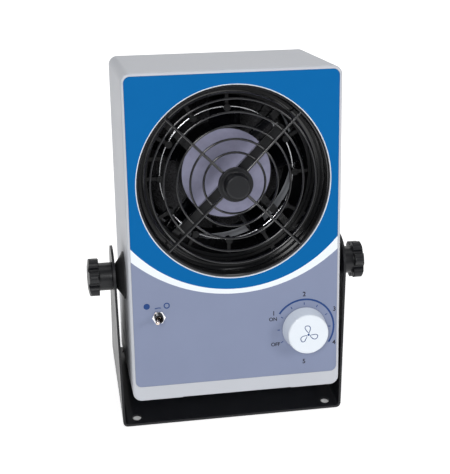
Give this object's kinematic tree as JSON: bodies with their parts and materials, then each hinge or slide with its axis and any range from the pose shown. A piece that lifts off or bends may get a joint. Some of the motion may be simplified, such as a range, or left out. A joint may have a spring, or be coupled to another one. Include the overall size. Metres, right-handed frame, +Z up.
{
  "type": "ionizing blower",
  "caption": "Benchtop ionizing air blower with a round guarded outlet, speed dial and toggle, tilting in a U bracket with side clamp knobs.",
  "frame": {"origin": "middle of the bracket's footprint, on the bench surface under the four pads", "axes": "+X to the right seen from the front, +Y from the outlet towards the back, +Z up"},
  "size_m": [0.1956, 0.1552, 0.2461],
  "materials": {
    "bracket_steel": "semi-gloss black powder coat",
    "pad_rubber": "matt",
    "knob_black": "fine texture",
    "cone_rubber": "satin",
    "plated_steel": "zinc plated",
    "insert_brass": "turned",
    "shell_grey": "satin light grey",
    "cover_grey": "satin light grey",
    "sheet_print": "satin printed sheet, blue over grey with a white arc",
    "guard_black": "gloss black",
    "duct_black": "gloss black",
    "ceramic_black": "satin",
    "pin_steel": "ground",
    "bright_steel": "bright",
    "bristle_white": "fine nylon",
    "fan_black": "gloss black",
    "label_silver": "satin foil",
    "copper": "enamelled copper wire",
    "magnet": "sintered",
    "knob_white": "satin white",
    "switch_black": "satin",
    "lever_metal": "bright",
    "board_green": "solder resist",
    "component_blue": "moulded",
    "potting_black": "cast resin",
    "inlet_black": "satin",
    "filter_foam": "open foam"
  },
  "bodies": {
    "stand": {"bracket": "bracket_steel", "bench_pads": "pad_rubber"},
    "housing": {"left_pivot_cone": "cone_rubber", "right_pivot_cone": "cone_rubber", "pivot_inserts": "insert_brass", "housing_shell": "shell_grey", "rear_cover": "cover_grey", "cover_screws": "plated_steel", "graphic_sheet": "sheet_print", "outlet_guard": "guard_black", "outlet_duct": "duct_black", "emitter_carrier": "ceramic_black", "emitter_pins": "pin_steel", "bus_ring": "bright_steel", "fan_frame": "fan_black", "fan_label": "label_silver", "fan_screws": "plated_steel", "fan_bearings": "bright_steel", "fan_stator": "copper", "speed_switch": "switch_black", "speed_nut": "plated_steel", "toggle_switch": "switch_black", "toggle_nut": "bright_steel", "control_board": "board_green", "board_components": "component_blue", "board_screws": "plated_steel", "high_voltage_module": "potting_black", "module_screws": "plated_steel", "mains_inlet": "inlet_black", "inlet_pins": "bright_steel", "inlet_screws": "plated_steel", "filter_pad": "filter_foam", "filter_retainer": "fan_black"},
    "impeller_set": {"impeller": "fan_black", "rotor_magnet": "magnet", "rotor_shaft": "bright_steel"},
    "cleaner": {"cleaner_knob": "knob_black", "cleaner_shaft": "bright_steel", "brush_arm": "ceramic_black", "cleaning_brushes": "bristle_white"},
    "speed_dial": {"speed_knob": "knob_white", "speed_shaft": "bright_steel"},
    "ionizer_lever": {"toggle_lever": "lever_metal"},
    "left_clamp": {"left_clamp_knob": "knob_black", "left_clamp_stud": "plated_steel"},
    "right_clamp": {"right_clamp_knob": "knob_black", "right_clamp_stud": "plated_steel"},
    "fuse_tray": {"fuse_drawer": "inlet_black"}
  },
  "joints": [
    {"name": "tilt", "type": "hinge", "parent": "stand", "child": "housing", "pos_m": [0, 0, 0.09879], "axis": [1, 0, 0], "range_deg": [-4.5, 60]},
    {"name": "fan_spin", "type": "hinge", "parent": "housing", "child": "impeller_set", "pos_m": [0, 0.03172, 0.16193], "axis": [0, 0.9659, -0.2588], "continuous": true},
    {"name": "cleaner_turn", "type": "hinge", "parent": "housing", "child": "cleaner", "pos_m": [0, -0.01657, 0.17487], "axis": [0, 0.9659, -0.2588], "continuous": true},
    {"name": "speed_turn", "type": "hinge", "parent": "housing", "child": "speed_dial", "pos_m": [0.047, -0.04372, 0.07355], "axis": [0, 0.9659, -0.2588], "range_deg": [0, 300]},
    {"name": "toggle_throw", "type": "hinge", "parent": "housing", "child": "ionizer_lever", "pos_m": [-0.053, -0.04196, 0.09016], "axis": [0, 0.2588, 0.9659], "range_deg": [0, 24]},
    {"name": "left_clamp_turn", "type": "hinge", "parent": "housing", "child": "left_clamp", "pos_m": [-0.08, 0, 0.09879], "axis": [1, 0, 0], "range_deg": [0, 360]},
    {"name": "right_clamp_turn", "type": "hinge", "parent": "housing", "child": "right_clamp", "pos_m": [0.08, 0, 0.09879], "axis": [1, 0, 0], "range_deg": [0, 360]},
    {"name": "fuse_slide", "type": "slide", "parent": "housing", "child": "fuse_tray", "axis": [0, 0.9659, -0.2588], "range_m": [0, 0.015]}
  ]
}
